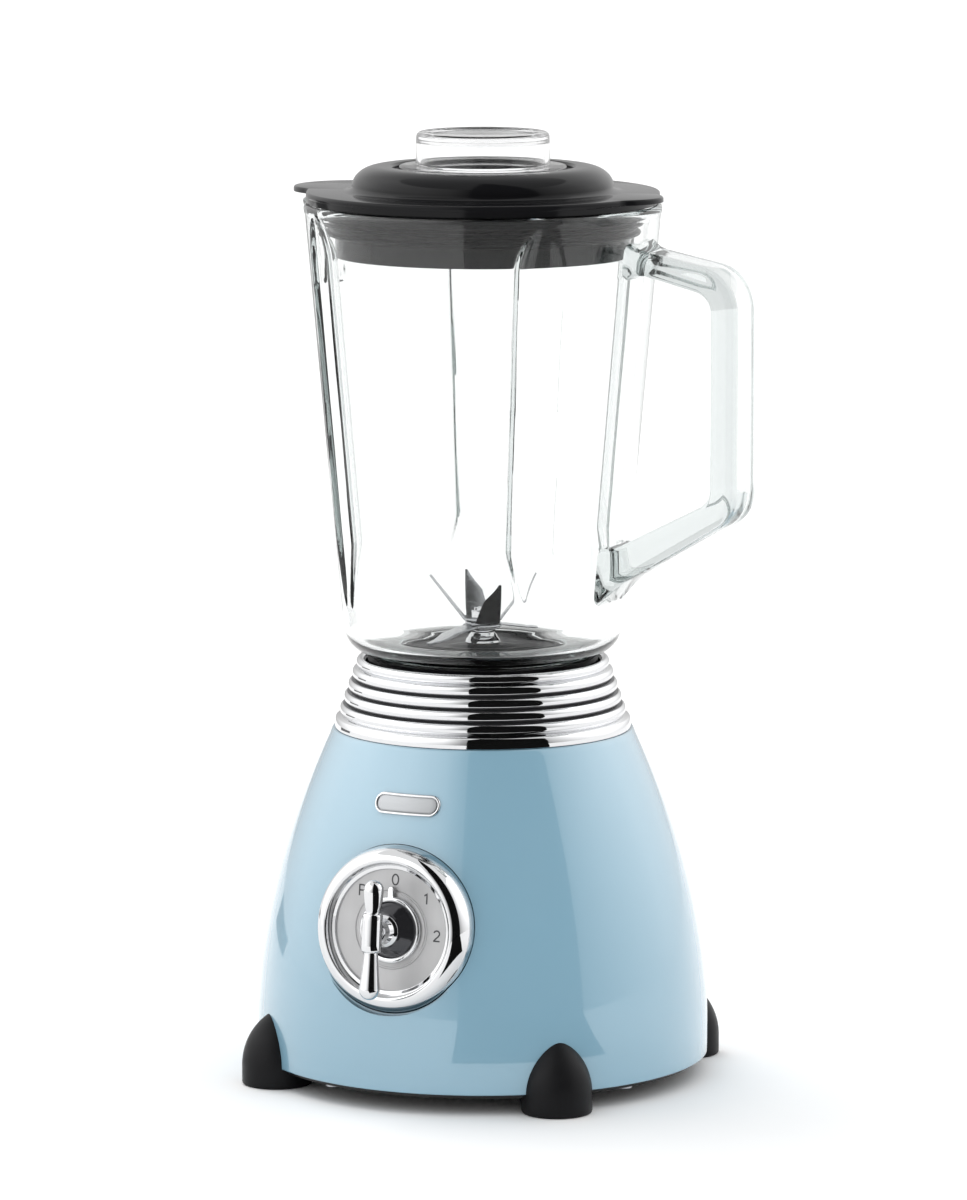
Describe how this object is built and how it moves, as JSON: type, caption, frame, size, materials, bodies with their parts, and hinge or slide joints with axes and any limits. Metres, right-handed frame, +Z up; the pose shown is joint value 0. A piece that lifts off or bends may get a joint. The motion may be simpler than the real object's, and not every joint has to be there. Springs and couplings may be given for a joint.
{
  "type": "countertop blender",
  "caption": "Countertop blender with a domed motor base, stepped chrome collar, rotary dial with a T lever, and a fluted glass jug with handle, lid and measuring cap.",
  "frame": {"origin": "on the plane that the feet stand on, under the middle of the base", "axes": "+Z up, -Y towards the dial, +X towards the jug's handle, -X towards the spout"},
  "size_m": [0.2125, 0.2063, 0.3926],
  "materials": {
    "shell_paint": "pale blue high-gloss moulded shell",
    "chrome": "polished",
    "chrome_dark": "black chrome",
    "dial_silver": "satin spun",
    "black_plastic": "satin",
    "gloss_black": "high gloss",
    "foot_rubber": "satin",
    "glass": "clear",
    "clear_plastic": "clear moulded plastic",
    "seal_silicone": "matt",
    "blade_steel": "brushed stainless",
    "steel": "plain",
    "lamination_steel": "stacked sheet edges",
    "copper": "enamelled copper wire",
    "brass": "plain",
    "aluminium": "die cast",
    "carbon": "sintered carbon",
    "rubber": "matt",
    "switch_plastic": "plain",
    "cam_plastic": "plain"
  },
  "bodies": {
    "root": {"base_shell": "shell_paint", "bottom_plate": "black_plastic", "bottom_screws": "steel", "foot_front_left": "foot_rubber", "foot_front_right": "foot_rubber", "foot_rear_left": "foot_rubber", "foot_rear_right": "foot_rubber", "foot_screws": "steel", "collar_ring": "chrome", "jug_seat": "black_plastic", "badge": "chrome", "dial_bezel": "chrome", "dial_plate": "dial_silver", "switch_bracket": "black_plastic", "dial_screws": "steel", "rotary_switch": "switch_plastic", "cord_inlet": "rubber", "interlock_switch": "black_plastic", "motor_stator": "lamination_steel", "field_coils": "copper", "motor_bracket_upper": "aluminium", "motor_bracket_lower": "aluminium", "motor_bolts": "steel", "rubber_mounts": "rubber", "mount_bolts": "steel", "bearing_upper": "steel", "bearing_lower": "brass", "brush_holders": "brass", "carbon_brushes": "carbon", "brush_springs": "steel"},
    "rotor": {"motor_shaft": "steel", "armature_core": "lamination_steel", "armature_windings": "copper", "commutator": "copper", "cooling_fan": "black_plastic", "drive_coupling": "black_plastic"},
    "pin": {"interlock_pin": "switch_plastic"},
    "knob": {"knob_spindle": "steel", "switch_cam": "cam_plastic", "knob_disc": "chrome_dark", "knob_rim": "chrome", "knob_stem": "chrome", "knob_lever": "chrome", "knob_grub_screw": "steel"},
    "jug": {"glass_jug": "glass", "jug_handle": "glass", "jug_base_collar": "black_plastic", "jug_gasket": "seal_silicone", "blade_housing": "black_plastic", "blade_bush": "brass"},
    "blades": {"blade_shaft": "steel", "jug_coupling": "black_plastic", "blade_hub": "chrome", "blade_lower": "blade_steel", "blade_middle": "blade_steel", "blade_upper": "blade_steel", "blade_nut": "chrome"},
    "lid": {"lid": "gloss_black", "lid_seal": "seal_silicone"},
    "cap": {"measuring_cap": "clear_plastic"}
  },
  "joints": [
    {"name": "motor_spin", "type": "hinge", "parent": "root", "child": "rotor", "pos_m": [0, 0, 0.08], "axis": [0, 0, 1], "continuous": true},
    {"name": "jug_lift", "type": "slide", "parent": "root", "child": "jug", "axis": [0, 0, 1], "range_m": [0, 0.09]},
    {"name": "blade_spin", "type": "hinge", "parent": "jug", "child": "blades", "pos_m": [0, 0, 0.17], "axis": [0, 0, 1], "continuous": true},
    {"name": "lid_lift", "type": "slide", "parent": "jug", "child": "lid", "axis": [0, 0, 1], "range_m": [0, 0.06]},
    {"name": "cap_lift", "type": "slide", "parent": "lid", "child": "cap", "axis": [0, 0, 1], "range_m": [0, 0.045]},
    {"name": "knob_turn", "type": "hinge", "parent": "root", "child": "knob", "pos_m": [0, -0.0862, 0.074], "axis": [0, 0.9945, -0.1045], "range_deg": [-45, 90]},
    {"name": "interlock_pin_rise", "type": "slide", "parent": "root", "child": "pin", "axis": [0, 0, 1], "range_m": [0, 0.003]}
  ],
  "couplings": [
    {"joint": "blade_spin", "follows": "motor_spin", "ratio": 1},
    {"joint": "interlock_pin_rise", "follows": "jug_lift", "ratio": 0.0333}
  ]
}
